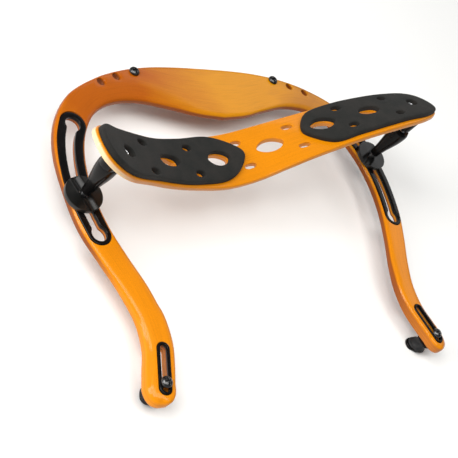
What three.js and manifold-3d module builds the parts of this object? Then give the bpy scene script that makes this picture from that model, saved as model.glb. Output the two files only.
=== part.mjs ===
// Violin shoulder rest: a bent maple cradle held on the instrument by four claws, and a curved
// maple rest plate carried above it on two adjustable legs.
// Millimetres, +Z up. Drawn with z = 0 at the back edge of the instrument and y = 0 at its chin
// end (+Y towards the player's chin), then moved so that the origin is under the middle of the part.

import * as THREE from 'three';
import { mergeVertices } from 'three/addons/utils/BufferGeometryUtils.js';
import Module from 'manifold-3d';

const wasm = await Module();
wasm.setup();

// ---- driving dimensions -------------------------------------------------------------------

const GAP = 0.3; // clearance between neighbouring pieces

// Cradle: matching points of the inner and outer top edge, from the middle to the arm tip.
const CRADLE_EDGES = [
  { inner: [0, -25.2, 10.6], outer: [0, 5.0, 8.2] },
  { inner: [14, -23.6, 10.4], outer: [17, 4.8, 8.2] },
  { inner: [28, -19.8, 9.7], outer: [33, 3.6, 8.3] },
  { inner: [45, -16.2, 8.8], outer: [48.5, 0.9, 8.4] },
  { inner: [60, -17.6, 8.4], outer: [64.5, -4.4, 8.4] },
  { inner: [70.4, -23.2, 8.0], outer: [81, -14, 8.2] },
  { inner: [77.6, -33, 7.6], outer: [91.2, -27.5, 7.7] },
  { inner: [82.3, -46, 7.5], outer: [96, -42.5, 7.5] },
  { inner: [83.9, -62, 7.5], outer: [97, -62, 7.5] },
  { inner: [82.1, -78, 7.5], outer: [95.5, -79, 7.4] },
  { inner: [77.8, -93, 7.5], outer: [91, -93, 7.3] },
  { inner: [72.8, -107.5, 7.5], outer: [85.7, -107.5, 7] },
  { inner: [70.3, -120, 7.5], outer: [82.5, -120.5, 6.8] },
  { inner: [70.7, -131.5, 7.5], outer: [83.1, -131.5, 6.6] },
  { inner: [73, -140, 7.5], outer: [86, -139.8, 6.5] },
  { inner: [76.1, -148.5, 7.5], outer: [88.3, -146.5, 6.3] },
];
const CRADLE_THICKNESS = 4;
const ARM_TIP_THICKNESS = 6;
const ARM_TIP_REACH = 7.8; // how far the rounded tip stands past the last pair of edge points
const ARM_TIP_SQUARENESS = 0.75; // 1 would draw half an ellipse, 0 a rectangle
const TIP_THICKENING_START = -95; // the arms thicken from this y to their tips
const TIP_THICKENING_LENGTH = 50;
const CRADLE_EDGE_RADIUS = 1.5;
const CRADLE_CROWN = 0.35;
const CRADLE_STEPS = 26; // sections in each half

// Three screw holes on each side of the chin end; the innermost one carries the end claw.
const END_HOLES = [[42.6, -0.6], [53, -3.5], [62.2, -6.9]];
const END_HOLE_RADIUS = 1.9;
const END_HOLE_FLARE = 0.5;
const END_HOLE_FLARE_HEIGHTS = [7.7, 8.5];

// Long slot in each arm: its middle line, with a round keyhole opening at both ends.
const SLOT_LINE = [
  [83.4, -29.3], [86.9, -36.5], [89.3, -45], [90.6, -54], [90.8, -62], [90, -71.5], [88.15, -81.7],
];
const SLOT_HALF_WIDTH = 2.2;
const KEYHOLE_RADIUS = 3.5;
const SLOT_CLEARANCE = 0.5; // the wood is cut this much wider than the opening of its liner
const SLOT_LINER_HALF = { start: 6.1, end: 5.3 };

// Short slot in each arm tip, straight, between two end centres.
const CLAW_SLOT = [[76.6, -133.4], [81.5, -149.2]];
const CLAW_SLOT_HALF_WIDTH = 1.6;
const CLAW_LINER_HALF = 2.8;

const LINER_TOP = 7.9;
const LINER_DEPTH = 1.8;
const LINER_ROUND = 0.4;

// Legs: both stand straight up from the long slots.
const LEG_LEFT = [-90.95, -64.6];
const LEG_RIGHT = [89.6, -46.6];
const STEM_RADIUS = 1.65;
const STEM_TOP = 26.5;
const STEM_FOOT = { radius: 3.2, bottom: 1.5, top: 3.1 };
const DISC = {
  radius: 8.35, bottom: LINER_TOP + GAP, top: 10.8, rounding: 0.5, grooveWidth: 3.4, grooveDepth: 1.4,
};
const DISC_TURN = { left: -1.31, right: 0.56 }; // direction of each disc's groove, in radians
const BARREL_PROFILE = [
  [2.3, 12.6], [2.55, 15.5], [3.05, 19.5], [3.75, 23.5], [4.3, 27], [4.6, 30.5], [4.5, 33.4], [3.9, 34.9],
];
const BARREL_BORE = { radius: 2, top: 29.4 };
const BALL_RADIUS = 2.5;
const BALL_HEIGHT = 33;
const NECK_RADIUS = 1.1;
const BRACKET = {
  bottom: 36.2,
  radius: { left: 3.9, right: 3.1 },
  screwSide: { left: [-94.2, -66.6], right: [88.7, -42] },
  plateReach: { left: [-16.5, 19.5], right: [168, 198] }, // stretch of the plate it is shaped to
};
const STUD_TOP = 38.2;

// Rest plate: a ruled, twisted strip along an axis in plan. Stations: distance along the axis,
// height of the wood's top, half width, twist in degrees, and a sideways shift where there is one.
const PLATE_START = [-91.5, -67.5];
const PLATE_END = [88.5, -39.5];
const PLATE_STATIONS = [
  { s: -17.1, z: 56.2, half: 0.9, twist: 3, shift: 0.3 },
  { s: -15.8, z: 55.3, half: 5.6, twist: 2.8, shift: 0.5 },
  { s: -10.8, z: 51.8, half: 9.3, twist: 2.4, shift: 0.5 },
  { s: 0, z: 44.3, half: 10.8, twist: 1.8, shift: 0.2 },
  { s: 14, z: 37, half: 10.9, twist: 1.2, shift: 0.5 },
  { s: 30, z: 29.9, half: 11.5, twist: -0.5, shift: 0.5 },
  { s: 46.7, z: 25.3, half: 12.5, twist: -2.3, shift: 0.3 },
  { s: 63.6, z: 23, half: 13.5, twist: -4, shift: -0.1 },
  { s: 78.8, z: 25, half: 13.7, twist: -8.5, shift: -0.5 },
  { s: 92.4, z: 29.9, half: 13.7, twist: -14.5, shift: -0.6 },
  { s: 105.8, z: 34.6, half: 13.7, twist: -19, shift: -0.6 },
  { s: 120.2, z: 38.7, half: 13.6, twist: -21, shift: -0.6 },
  { s: 133.1, z: 42, half: 13.4, twist: -22, shift: -0.6 },
  { s: 149.1, z: 44.1, half: 13.2, twist: -23.5, shift: -0.5 },
  { s: 165.2, z: 45.2, half: 12.9, twist: -24.8, shift: -0.3 },
  { s: 182.9, z: 45, half: 11.5, twist: -25, shift: -0.1 },
  { s: 194, z: 44.2, half: 8.2, twist: -25, shift: -0.9 },
  { s: 197.8, z: 43.8, half: 4.8, twist: -25, shift: -2.2 },
  { s: 199, z: 43.6, half: 0.9, twist: -25, shift: -2.8 },
];
const PLATE_THICKNESS = 2.8;
const PLATE_EDGE_ROUND = 0.7;
const PLATE_STEPS = 38;
const PAD_THICKNESS = 2.6;
const PAD_STEPS = 20;
const PAD_OPENING_GROWTH = 0.1; // the pads' openings are this much larger than the wood's
const PAD_OUTLINES = {
  left: [
    [-16.8, 0.3], [-15.2, 6.2], [-10.5, 9.3], [0, 10.5], [22, 10.8], [45, 11.9], [64, 12.1], [73.7, 7.2],
    [78.8, 0], [73.4, -6.8], [66, -10.4], [45, -10.8], [22, -9.5], [0, -9.8], [-10.2, -8.2], [-15, -5],
  ],
  right: [
    [109.4, 0], [112.6, 5.8], [118.5, 9.9], [134, 11.2], [152, 11.3], [170, 10.7], [185, 9], [194, 5.2],
    [197.9, -1.8], [196.3, -7.2], [186, -10.4], [170, -11.2], [152, -11.9], [134, -12.2], [119, -11.6],
    [112.2, -5.6],
  ],
};

// Openings through the plate and the pads: place along and across, half length, half width.
const SMALL_OVAL = { length: 2.8, width: 1.35 };
const SMALL_OVAL_OFFSET = 6.6;
const SMALL_OVAL_STATIONS = [14.2, 46.7, 78.8, 105.8, 133.1, 165.2];
const BIG_OPENINGS = [
  { s: 30.1, length: 6.6, width: 2.5, pointed: false },
  { s: 63.6, length: 6.6, width: 3.6, pointed: true },
  { s: 92.6, length: 6.6, width: 3.7, pointed: true },
  { s: 120.2, length: 6.6, width: 3.5, pointed: true },
  { s: 149.1, length: 6.6, width: 2.5, pointed: false },
];
const END_SLOT = { length: 2, width: 1.5, padLength: 3.6, padWidth: 2.5 };
const END_SLOT_STATIONS = { left: -0.2, right: 182.9 };
const CUT_BEYOND = 2; // cutters run this far past the faces they cut through
const PLATE_SCREW = { headRadius: 2.1, headHeight: 1.3, shankRadius: 1.1, length: 7.2 };

// Claws: a spool that grips the edge of the instrument, with a toe that reaches under it.
const CLAW = { bottom: -8, flange: 1.4, postRadius: 2.4, toeReach: 6.2, toeHalf: 3.3, boreStart: 3 };
const CLAW_RUBBER = { radius: 4.5, waist: 3.3, lip: 0.6, slope: 1.5, sole: 1 };
const ARM_CLAW = { at: [80.88, -147.2], top: 0, toeDirection: [-0.86, 0.51], screwSeat: LINER_TOP + GAP };
const END_CLAW = { at: END_HOLES[0], top: 3.6, toeDirection: [0, -1], screwSeat: 8.85 };
const CLAW_SCREW = { headRadius: 2.5, headHeight: 1.8, shankRadius: 1.2, length: 11.5 };

// ---- materials ----------------------------------------------------------------------------

const MAPLE = new THREE.MeshStandardMaterial({ color: 0xe08a1c, roughness: 0.35, metalness: 0 });
const PLATE_MAPLE = new THREE.MeshStandardMaterial({ color: 0xf0a31a, roughness: 0.35, metalness: 0 });
const BLACK_PLASTIC = new THREE.MeshStandardMaterial({ color: 0x101012, roughness: 0.3, metalness: 0 });
const FOAM = new THREE.MeshStandardMaterial({ color: 0x3a3a3c, roughness: 0.9, metalness: 0 });
const RUBBER = new THREE.MeshStandardMaterial({ color: 0x161618, roughness: 0.8, metalness: 0 });
const STEEL = new THREE.MeshStandardMaterial({ color: 0xb8bbc0, roughness: 0.3, metalness: 1 });
const BLACK_STEEL = new THREE.MeshStandardMaterial({ color: 0x2b2c30, roughness: 0.35, metalness: 0.9 });

// ---- solids -------------------------------------------------------------------------------

function toSolid(geometry) {
  geometry.deleteAttribute('normal');
  geometry.deleteAttribute('uv');
  const merged = mergeVertices(geometry, 1e-4);
  const vertProperties = new Float32Array(merged.attributes.position.array);
  const triVerts = new Uint32Array(merged.index.array);
  return new wasm.Manifold(new wasm.Mesh({ numProp: 3, vertProperties, triVerts }));
}

function toGeometry(solid) {
  const mesh = solid.getMesh();
  const geometry = new THREE.BufferGeometry();
  geometry.setAttribute('position', new THREE.BufferAttribute(new Float32Array(mesh.vertProperties), 3));
  geometry.setIndex(new THREE.BufferAttribute(new Uint32Array(mesh.triVerts), 1));
  geometry.computeVertexNormals();
  return geometry;
}

// Closed skin over rings of equal point counts, with flat caps on the first and last ring.
function loft(rings) {
  const count = rings[0].length;
  const positions = rings.flat().flatMap((point) => [point.x, point.y, point.z]);
  const index = [];
  for (let i = 0; i + 1 < rings.length; i += 1) {
    for (let j = 0; j < count; j += 1) {
      const a = i * count + j;
      const b = i * count + ((j + 1) % count);
      index.push(a, b, a + count, b, b + count, a + count);
    }
  }
  const last = (rings.length - 1) * count;
  for (let j = 1; j + 1 < count; j += 1) {
    index.push(0, j + 1, j);
    index.push(last, last + j, last + j + 1);
  }
  const geometry = new THREE.BufferGeometry();
  geometry.setAttribute('position', new THREE.Float32BufferAttribute(positions, 3));
  geometry.setIndex(index);
  return toSolid(geometry);
}

// Straight-sided solid from a flat outline, standing between two heights.
function prism(points, bottom, top) {
  const shape = new THREE.Shape(points);
  const geometry = new THREE.ExtrudeGeometry(shape, { depth: top - bottom, bevelEnabled: false });
  geometry.translate(0, 0, bottom);
  return toSolid(geometry);
}

// Round solid on a vertical axis from [radius, height] points, closed on the axis at both ends.
function turned(profile, at, segments = 20) {
  const bottom = profile[0][1];
  const top = profile[profile.length - 1][1];
  const points = [[0, bottom], ...profile, [0, top]].map(([r, z]) => new THREE.Vector2(r, z));
  const geometry = new THREE.LatheGeometry(points, segments);
  geometry.rotateX(Math.PI / 2);
  geometry.translate(at[0], at[1], 0);
  return toSolid(geometry);
}

function rod(radius, bottom, top, at, segments = 16) {
  return turned([[radius, bottom], [radius, top]], at, segments);
}

function ball(radius, at, height) {
  const geometry = new THREE.SphereGeometry(radius, 14, 9);
  geometry.translate(at[0], at[1], height);
  return toSolid(geometry);
}

// Outline of a slot that follows a line: its half width can change along it, and each end closes
// in a circle that may be wider than the slot.
function slotOutline(line, halfAt, endRadii) {
  const curve = new THREE.SplineCurve(line.map(([x, y]) => new THREE.Vector2(x, y)));
  const length = curve.getLength();
  const steps = Math.max(1, Math.round(length / 6));
  const trim = (end, half) => Math.sqrt(Math.max(0, endRadii[end] ** 2 - half ** 2)) / length;
  const first = trim(0, halfAt(0));
  const last = 1 - trim(1, halfAt(1));
  const side = (sign) => {
    const points = [];
    for (let i = 0; i <= steps; i += 1) {
      const u = first + ((last - first) * i) / steps;
      const at = curve.getPointAt(u);
      const along = curve.getTangentAt(u);
      const half = halfAt(u) * sign;
      points.push(new THREE.Vector2(at.x - along.y * half, at.y + along.x * half));
    }
    return points;
  };
  const cap = (u, radius, half, direction) => {
    const centre = curve.getPointAt(u);
    const along = curve.getTangentAt(u).multiplyScalar(direction);
    const opening = Math.asin(Math.min(1, half / radius));
    const sweep = 2 * (Math.PI - opening);
    const arcSteps = 10;
    const start = Math.atan2(along.y, along.x) - sweep / 2;
    const points = [];
    for (let i = 1; i < arcSteps; i += 1) {
      const angle = start + (sweep * i) / arcSteps;
      const spoke = new THREE.Vector2(Math.cos(angle), Math.sin(angle));
      points.push(spoke.multiplyScalar(radius).add(centre));
    }
    return points;
  };
  return [
    ...side(-1),
    ...cap(1, endRadii[1], halfAt(1), 1),
    ...side(1).reverse(),
    ...cap(0, endRadii[0], halfAt(0), -1),
  ];
}

function mirrorX(line) {
  return line.map(([x, y]) => [-x, y]);
}

function sideLine(line, side) {
  return side === 'left' ? mirrorX(line) : line;
}

function sidePoint([x, y], side) {
  return side === 'left' ? [-x, y] : [x, y];
}

// ---- cradle -------------------------------------------------------------------------------

// Ring of a flat bar with rounded edges and a slightly crowned top, across from a to b.
function barRing(a, b, thickness, scale = 1) {
  const across = b.clone().sub(a);
  const width = across.length();
  across.normalize();
  const up = new THREE.Vector3(0, 0, 1).addScaledVector(across, -across.z).normalize();
  const radius = Math.min(CRADLE_EDGE_RADIUS, width * 0.45, thickness * 0.45);
  const corners = [
    [radius, radius - thickness, Math.PI],
    [width - radius, radius - thickness, 1.5 * Math.PI],
    [width - radius, -radius, 0],
    [radius, -radius, 0.5 * Math.PI],
  ];
  const flat = [];
  corners.forEach(([x, y, start], corner) => {
    const bends = corner < 2 ? 1 : 2; // the lower corners are chamfers, the upper ones are rounded
    for (let i = 0; i <= bends; i += 1) {
      const angle = start + (i * Math.PI) / (2 * bends);
      flat.push([x + radius * Math.cos(angle), y + radius * Math.sin(angle)]);
    }
    if (corner === 2) {
      [0.67, 0.33].forEach((f) => {
        flat.push([radius + (width - 2 * radius) * f, 4 * CRADLE_CROWN * f * (1 - f)]);
      });
    }
  });
  const middle = -thickness / 2;
  return flat.map(([x, y]) => {
    const lift = middle + (y - middle) * scale;
    return a.clone().addScaledVector(across, x).addScaledVector(up, lift);
  });
}

function smoothStep(x) {
  const t = THREE.MathUtils.clamp(x, 0, 1);
  return t * t * (3 - 2 * t);
}

function cradleThickness(y) {
  const grown = smoothStep((TIP_THICKENING_START - y) / TIP_THICKENING_LENGTH);
  return CRADLE_THICKNESS + (ARM_TIP_THICKNESS - CRADLE_THICKNESS) * grown;
}

// Sections of the right half, from the middle of the chin end to the rounded arm tip.
function halfCradleRings() {
  const edge = (name) => {
    const points = CRADLE_EDGES.map((pair) => new THREE.Vector3(...pair[name]));
    return new THREE.CatmullRomCurve3(points);
  };
  const inner = edge('inner');
  const outer = edge('outer');
  const rings = [];
  for (let i = 0; i <= CRADLE_STEPS; i += 1) {
    const a = inner.getPoint(i / CRADLE_STEPS);
    const b = outer.getPoint(i / CRADLE_STEPS);
    rings.push(barRing(a, b, cradleThickness(a.y)));
  }
  const a = inner.getPoint(1);
  const b = outer.getPoint(1);
  const middle = a.clone().add(b).multiplyScalar(0.5);
  const half = b.clone().sub(a).multiplyScalar(0.5);
  const forward = new THREE.Vector3(half.y, -half.x, 0).normalize();
  [20, 40, 58, 72, 83].forEach((degrees) => {
    const angle = THREE.MathUtils.degToRad(degrees);
    const centre = middle.clone().addScaledVector(forward, ARM_TIP_REACH * Math.sin(angle));
    const narrow = half.clone().multiplyScalar(Math.cos(angle) ** ARM_TIP_SQUARENESS);
    const scale = 0.6 + 0.4 * Math.cos(angle);
    rings.push(barRing(centre.clone().sub(narrow), centre.clone().add(narrow), ARM_TIP_THICKNESS, scale));
  });
  return rings;
}

function mirroredRing(ring) {
  return ring.map((point) => new THREE.Vector3(-point.x, point.y, point.z));
}

function keySlotOutline(side, extra) {
  const ends = [KEYHOLE_RADIUS + extra, KEYHOLE_RADIUS + extra];
  return slotOutline(sideLine(SLOT_LINE, side), () => SLOT_HALF_WIDTH + extra, ends);
}

function linerOutline(side, extra) {
  const { start, end } = SLOT_LINER_HALF;
  const half = (u) => start + (end - start) * u + extra;
  return slotOutline(sideLine(SLOT_LINE, side), half, [start + extra, end + extra]);
}

function clawSlotOutline(side, half) {
  return slotOutline(sideLine(CLAW_SLOT, side), () => half, [half, half]);
}

function makeCradle() {
  const right = halfCradleRings();
  const left = right.slice(1).reverse().map(mirroredRing);
  let solid = loft([...left, ...right]);
  const below = -5;
  const above = 20;
  const recess = LINER_TOP - LINER_DEPTH - GAP;
  ['left', 'right'].forEach((side) => {
    const cuts = [
      prism(keySlotOutline(side, SLOT_CLEARANCE), below, above),
      prism(linerOutline(side, GAP), recess, above),
      prism(clawSlotOutline(side, CLAW_SLOT_HALF_WIDTH + SLOT_CLEARANCE), below, above),
      prism(clawSlotOutline(side, CLAW_LINER_HALF + GAP), recess, above),
      ...END_HOLES.map((hole) => {
        const flare = END_HOLE_RADIUS + END_HOLE_FLARE;
        const [start, end] = END_HOLE_FLARE_HEIGHTS;
        const profile = [[END_HOLE_RADIUS, below], [END_HOLE_RADIUS, start], [flare, end], [flare, above]];
        return turned(profile, sidePoint(hole, side), 16);
      }),
    ];
    cuts.forEach((cut) => {
      solid = solid.subtract(cut);
    });
  });
  return toGeometry(solid);
}

// Flat frame that lines a slot, its top edge softened by a chamfer.
function makeLiner(outline, opening) {
  const shape = new THREE.Shape(outline);
  shape.holes.push(new THREE.Path(opening));
  const geometry = new THREE.ExtrudeGeometry(shape, {
    depth: LINER_DEPTH - 2 * LINER_ROUND,
    bevelSize: LINER_ROUND,
    bevelOffset: -LINER_ROUND,
    bevelThickness: LINER_ROUND,
    bevelSegments: 1,
  });
  geometry.translate(0, 0, LINER_TOP - LINER_DEPTH + LINER_ROUND);
  return toGeometry(toSolid(geometry));
}

// ---- legs ---------------------------------------------------------------------------------

function makeStem(at) {
  const { radius, bottom, top } = STEM_FOOT;
  const profile = [[radius, bottom], [radius, top], [STEM_RADIUS, top], [STEM_RADIUS, STEM_TOP]];
  return toGeometry(turned(profile, at));
}

// Thumb disc that clamps the leg to the slot: a low dome parted into two lobes by a groove.
function makeClampDisc(at, turn) {
  const { radius, bottom, top, rounding, grooveWidth, grooveDepth } = DISC;
  const profile = [
    [radius - rounding, bottom], [radius, bottom + rounding], [radius, top - 2 * rounding],
    [radius - 2 * rounding, top - 0.6 * rounding], [radius - 5 * rounding, top],
  ];
  const dome = turned(profile, at, 32);
  const groove = new THREE.CylinderGeometry(grooveWidth, grooveWidth, 4 * radius, 16);
  groove.scale(1, 1, grooveDepth / grooveWidth);
  groove.rotateZ(turn - Math.PI / 2);
  groove.translate(at[0], at[1], top);
  const bore = rod(STEM_RADIUS + GAP, bottom - 1, top + 1, at);
  return toGeometry(dome.subtract(toSolid(groove)).subtract(bore));
}

function makeBarrel(at) {
  const body = turned(BARREL_PROFILE, at);
  const bore = rod(BARREL_BORE.radius, BARREL_PROFILE[0][1] - 1, BARREL_BORE.top, at);
  const socket = ball(BALL_RADIUS + GAP, at, BALL_HEIGHT);
  return toGeometry(body.subtract(bore).subtract(socket));
}

function makeBallStud(at) {
  const neck = rod(NECK_RADIUS, BALL_HEIGHT, STUD_TOP, at, 12);
  return toGeometry(ball(BALL_RADIUS, at, BALL_HEIGHT).add(neck));
}

// ---- rest plate ---------------------------------------------------------------------------

const PLATE_ORIGIN = new THREE.Vector3(...PLATE_START, 0);
const PLATE_ALONG = new THREE.Vector3(...PLATE_END, 0).sub(PLATE_ORIGIN).normalize();
const PLATE_SIDEWAYS = new THREE.Vector3(-PLATE_ALONG.y, PLATE_ALONG.x, 0);

// Smooth curve through the stations' values, as a function of the distance along the axis.
function stationCurve(name) {
  const points = PLATE_STATIONS.map((row) => new THREE.Vector2(row.s, row[name]));
  const curve = new THREE.SplineCurve(points);
  const table = curve.getPoints(PLATE_STATIONS.length * 12);
  return (s) => {
    const i = Math.max(1, table.findIndex((point) => point.x >= s));
    const [p, q] = [table[i - 1], table[i]];
    return THREE.MathUtils.mapLinear(THREE.MathUtils.clamp(s, p.x, q.x), p.x, q.x, p.y, q.y);
  };
}

const plateHeight = stationCurve('z');
const plateHalf = stationCurve('half');
const plateTwist = stationCurve('twist');
const plateShift = stationCurve('shift');
const PLATE_FIRST = PLATE_STATIONS[0].s;
const PLATE_LAST = PLATE_STATIONS[PLATE_STATIONS.length - 1].s;

// Frame of the wood's top at a distance along the axis: middle point, across, and normal.
function plateFrame(s) {
  const place = (d) => {
    const point = PLATE_ORIGIN.clone().addScaledVector(PLATE_ALONG, d);
    return point.setZ(plateHeight(d));
  };
  const inside = THREE.MathUtils.clamp(s, PLATE_FIRST, PLATE_LAST);
  const ahead = place(Math.min(inside + 1, PLATE_LAST));
  const behind = place(Math.max(inside - 1, PLATE_FIRST));
  const tangent = ahead.sub(behind).normalize();
  const middle = place(inside).addScaledVector(tangent, s - inside);
  const twist = THREE.MathUtils.degToRad(plateTwist(inside));
  const across = PLATE_SIDEWAYS.clone().multiplyScalar(Math.cos(twist));
  across.z = Math.sin(twist);
  const normal = new THREE.Vector3().crossVectors(tangent, across).normalize();
  return { middle, across, normal };
}

function plateRing(s, low, high, half) {
  const { middle, across, normal } = plateFrame(s);
  const start = middle.addScaledVector(across, plateShift(s));
  const at = (u, lift) => start.clone().addScaledVector(across, u).addScaledVector(normal, lift);
  const soft = Math.min(PLATE_EDGE_ROUND, half * 0.4);
  return [
    at(-half + soft, low), at(half - soft, low), at(half, low + soft), at(half, high - soft),
    at(half - soft, high), at(-half + soft, high), at(-half, high - soft), at(-half, low + soft),
  ];
}

function plateSolid() {
  const rings = [];
  for (let i = 0; i <= PLATE_STEPS; i += 1) {
    const even = i / PLATE_STEPS;
    const eased = 0.5 - 0.5 * Math.cos(Math.PI * even);
    const s = THREE.MathUtils.lerp(PLATE_FIRST, PLATE_LAST, 0.55 * even + 0.45 * eased);
    rings.push(plateRing(s, -PLATE_THICKNESS, 0, plateHalf(s)));
  }
  return loft(rings);
}

// Everything below one stretch of the plate, used to shape a bracket to the plate's underside.
function underPlate([first, last]) {
  const depth = 25;
  const spacing = 3;
  const rings = [];
  for (let s = first; s <= last; s += spacing) {
    rings.push(plateRing(s, -PLATE_THICKNESS - depth, -PLATE_THICKNESS - GAP, depth));
  }
  return loft(rings);
}

// Flat outline in plate coordinates (along, across) carried onto the curved plate as a thick cutter.
function platePlug(outline, low, high) {
  const ring = (lift) => outline.map(([s, u]) => {
    const { middle, across, normal } = plateFrame(s);
    return middle.addScaledVector(across, u).addScaledVector(normal, lift);
  });
  return loft([ring(low), ring(high)]);
}

function ovalOutline(s, u, length, width, pointed = false) {
  const steps = length > 4 ? 14 : 8;
  const power = pointed ? 1.35 : 0.8;
  const points = [];
  for (let i = 0; i < steps; i += 1) {
    const angle = (2 * Math.PI * i) / steps;
    const across = Math.sign(Math.sin(angle)) * Math.abs(Math.sin(angle)) ** power;
    points.push([s + length * Math.cos(angle), u + width * across]);
  }
  return points;
}

function plateOpenings(grow) {
  const big = BIG_OPENINGS.map(({ s, length, width, pointed }) => (
    ovalOutline(s, 0, length + grow, width + grow, pointed)
  ));
  const { length, width } = SMALL_OVAL;
  const small = SMALL_OVAL_STATIONS.flatMap((s) => [-SMALL_OVAL_OFFSET, SMALL_OVAL_OFFSET].map((u) => (
    ovalOutline(s, u, length + grow, width + grow)
  )));
  const low = -PLATE_THICKNESS - CUT_BEYOND;
  return [...big, ...small].map((outline) => platePlug(outline, low, PAD_THICKNESS + CUT_BEYOND));
}

function makePlate() {
  let solid = plateSolid();
  plateOpenings(0).forEach((cutter) => {
    solid = solid.subtract(cutter);
  });
  Object.values(END_SLOT_STATIONS).forEach((s) => {
    const outline = ovalOutline(s, 0, END_SLOT.length, END_SLOT.width);
    solid = solid.subtract(platePlug(outline, -PLATE_THICKNESS - CUT_BEYOND, CUT_BEYOND));
  });
  return toGeometry(solid);
}

function padOutline(side) {
  const points = PAD_OUTLINES[side].map(([s, u]) => new THREE.Vector3(s, u, 0));
  return new THREE.CatmullRomCurve3(points, true, 'centripetal').getPoints(points.length * 4);
}

// The two places across the plate where an outline crosses a distance along it, lower one first.
function outlineCrossings(outline, s) {
  const hits = [];
  for (let i = 0; i + 1 < outline.length; i += 1) {
    const [p, q] = [outline[i], outline[i + 1]];
    if ((p.x - s) * (q.x - s) <= 0 && p.x !== q.x) {
      hits.push(THREE.MathUtils.mapLinear(s, p.x, q.x, p.y, q.y));
    }
  }
  return [Math.min(...hits), Math.max(...hits)];
}

function padRing(outline, s) {
  const { middle, across, normal } = plateFrame(s);
  const [low, high] = outlineCrossings(outline, s);
  const corners = [[low, GAP], [high, GAP], [high, PAD_THICKNESS], [low, PAD_THICKNESS]];
  return corners.map(([u, lift]) => (
    middle.clone().addScaledVector(across, u).addScaledVector(normal, lift)
  ));
}

// Pads follow the wood's top. Each is a strip between its two edges, then cut like the plate.
function makePad(side) {
  const outline = padOutline(side);
  const places = outline.map((point) => point.x);
  const first = Math.min(...places);
  const last = Math.max(...places);
  const endInset = 0.35; // the first and last section stand this part of a step inside the ends
  const rings = [];
  for (let i = 0; i <= PAD_STEPS; i += 1) {
    const turn = (Math.PI * (i + endInset)) / (PAD_STEPS + 2 * endInset);
    rings.push(padRing(outline, THREE.MathUtils.lerp(first, last, 0.5 - 0.5 * Math.cos(turn))));
  }
  let solid = loft(rings);
  plateOpenings(PAD_OPENING_GROWTH).forEach((cutter) => {
    solid = solid.subtract(cutter);
  });
  const hole = ovalOutline(END_SLOT_STATIONS[side], 0, END_SLOT.padLength, END_SLOT.padWidth);
  return toGeometry(solid.subtract(platePlug(hole, -CUT_BEYOND, PAD_THICKNESS + CUT_BEYOND)));
}

// Solid turned about the plate's normal at one of its end holes, measured down from the wood's top.
function onPlateNormal(side, geometry) {
  const { middle, across, normal } = plateFrame(END_SLOT_STATIONS[side]);
  const along = new THREE.Vector3().crossVectors(across, normal);
  geometry.applyMatrix4(new THREE.Matrix4().makeBasis(along, across, normal).setPosition(middle));
  return toSolid(geometry);
}

function normalRod(side, radius, low, high) {
  const geometry = new THREE.CylinderGeometry(radius, radius, high - low, 14);
  geometry.rotateX(Math.PI / 2);
  geometry.translate(0, 0, (low + high) / 2);
  return onPlateNormal(side, geometry);
}

function makePlateScrew(side) {
  const { headRadius, headHeight, shankRadius, length } = PLATE_SCREW;
  const head = normalRod(side, headRadius, GAP, GAP + headHeight);
  return toGeometry(head.add(normalRod(side, shankRadius, -length, GAP + headHeight / 2)));
}

function makeBracket(side, at) {
  const { bottom, radius, screwSide, plateReach } = BRACKET;
  const half = radius[side];
  const outline = slotOutline([screwSide[side], at], () => half, [half, half]);
  const block = prism(outline, bottom, 2 * bottom).intersect(underPlate(plateReach[side]));
  const screwHole = normalRod(side, PLATE_SCREW.shankRadius + GAP, -PLATE_SCREW.length - GAP, CUT_BEYOND);
  const studHole = rod(NECK_RADIUS + GAP, bottom - CUT_BEYOND, STUD_TOP + GAP, at);
  return toGeometry(block.subtract(screwHole).subtract(studHole));
}

// ---- claws --------------------------------------------------------------------------------

// Toe outline: a round-ended tongue from the post towards the instrument.
function toeOutline(at, direction, half, reach) {
  const tip = [at[0] + direction[0] * (reach - half), at[1] + direction[1] * (reach - half)];
  return slotOutline([at, tip], () => half, [half, half]);
}

function makeClawPost(at, top, direction, screwRadius) {
  const { bottom, flange, postRadius, toeHalf, toeReach, boreStart } = CLAW;
  const toe = prism(toeOutline(at, direction, toeHalf, toeReach), bottom, bottom + flange);
  const bore = rod(screwRadius + GAP, bottom + boreStart, top + CUT_BEYOND, at);
  return toGeometry(toe.add(rod(postRadius, bottom + flange / 2, top, at)).subtract(bore));
}

function makeClawRubber(at, top, direction) {
  const { radius, waist, lip, slope, sole } = CLAW_RUBBER;
  const low = CLAW.bottom + CLAW.flange + GAP;
  const high = top - GAP;
  const spool = turned([
    [radius - lip, low], [radius, low + lip], [waist, low + lip + slope],
    [waist, high - lip - slope], [radius - lip / 2, high - lip], [radius - lip, high],
  ], at);
  const tongue = prism(toeOutline(at, direction, CLAW.toeHalf, CLAW.toeReach - lip), low, low + sole);
  const bore = rod(CLAW.postRadius + GAP, low - CUT_BEYOND, top + CUT_BEYOND, at);
  return toGeometry(spool.add(tongue).subtract(bore));
}

function makeClawScrew(at, seat) {
  const { headRadius, headHeight, shankRadius, length } = CLAW_SCREW;
  const profile = [
    [shankRadius, seat - length], [shankRadius, seat], [headRadius, seat],
    [headRadius, seat + headHeight * 0.45], [headRadius * 0.72, seat + headHeight * 0.88],
    [headRadius * 0.3, seat + headHeight],
  ];
  return toGeometry(turned(profile, at, 16));
}

// ---- assembly -----------------------------------------------------------------------------

const assembly = new THREE.Group();

function add(name, geometry, material) {
  const mesh = new THREE.Mesh(geometry, material);
  mesh.name = name;
  assembly.add(mesh);
}

add('cradle', makeCradle(), MAPLE);
add('rest_plate', makePlate(), PLATE_MAPLE);

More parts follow.
